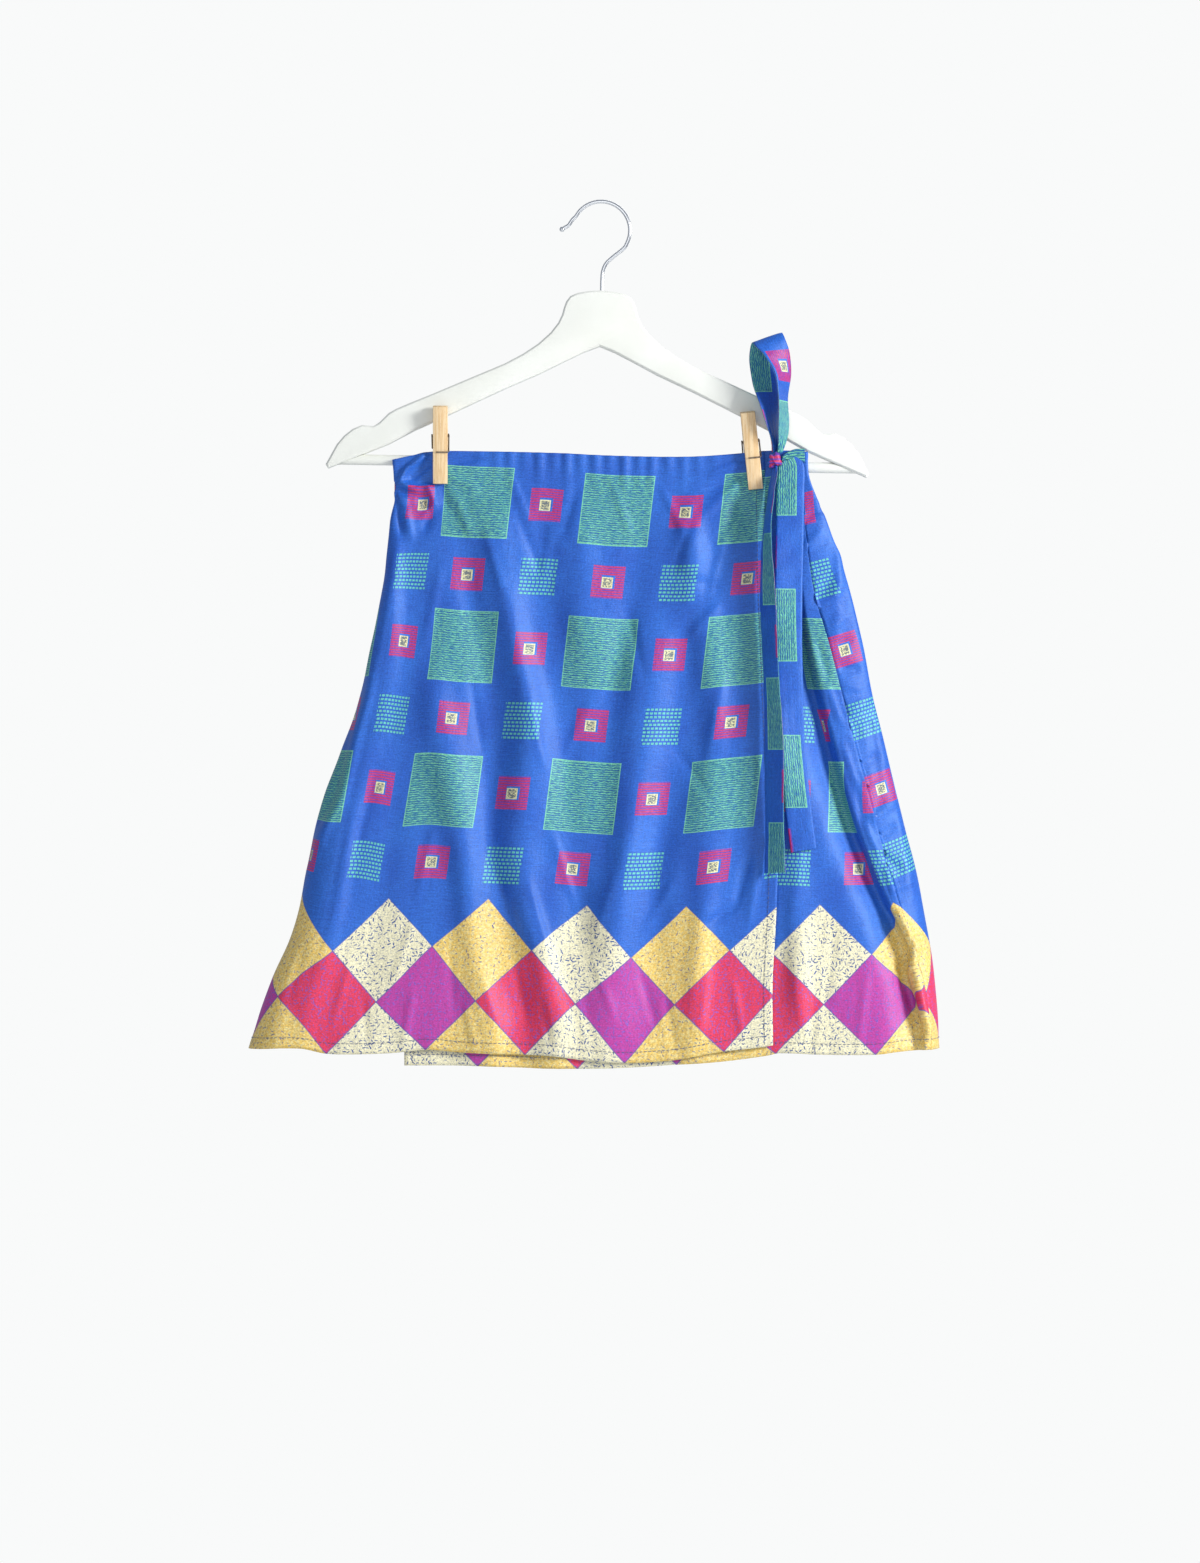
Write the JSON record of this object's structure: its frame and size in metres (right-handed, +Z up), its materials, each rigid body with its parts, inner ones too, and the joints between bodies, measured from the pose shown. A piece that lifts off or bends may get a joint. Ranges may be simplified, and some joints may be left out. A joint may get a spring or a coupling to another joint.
{
  "type": "wrap skirt on a clothes hanger",
  "caption": "A-line wrap skirt of printed satin silk with a tied half bow, clipped by wooden pegs to the bar of a white wooden hanger.",
  "frame": {"origin": "inner crown of the hanger's hook, where a rail or nail carries it", "axes": "+Z up, +X to the right seen from the front, -Y towards the viewer"},
  "size_m": [0.5522, 0.0692, 0.6935],
  "materials": {
    "white_paint": "white satin paint on wood",
    "hook_steel": "bright plated wire",
    "peg_wood": "raw pale wood",
    "spring_wire": "dull spring wire",
    "printed_silk": "printed satin silk, blue with squares and a border of lozenges",
    "tie_silk": "the same silk, cut in strips"
  },
  "bodies": {
    "root": {"hanger_body": "white_paint", "hanger_bar": "white_paint", "hanger_hook": "hook_steel", "peg_left_front": "peg_wood", "peg_left_back": "peg_wood", "peg_left_spring": "spring_wire", "peg_right_front": "peg_wood", "peg_right_back": "peg_wood", "peg_right_spring": "spring_wire", "skirt_front_outer": "printed_silk", "skirt_front_under": "printed_silk", "skirt_back": "printed_silk", "tie_knot": "tie_silk", "tie_loop": "tie_silk", "tie_tail_right": "tie_silk", "tie_tail_left": "tie_silk", "tie_stub": "tie_silk"}
  },
  "joints": []
}
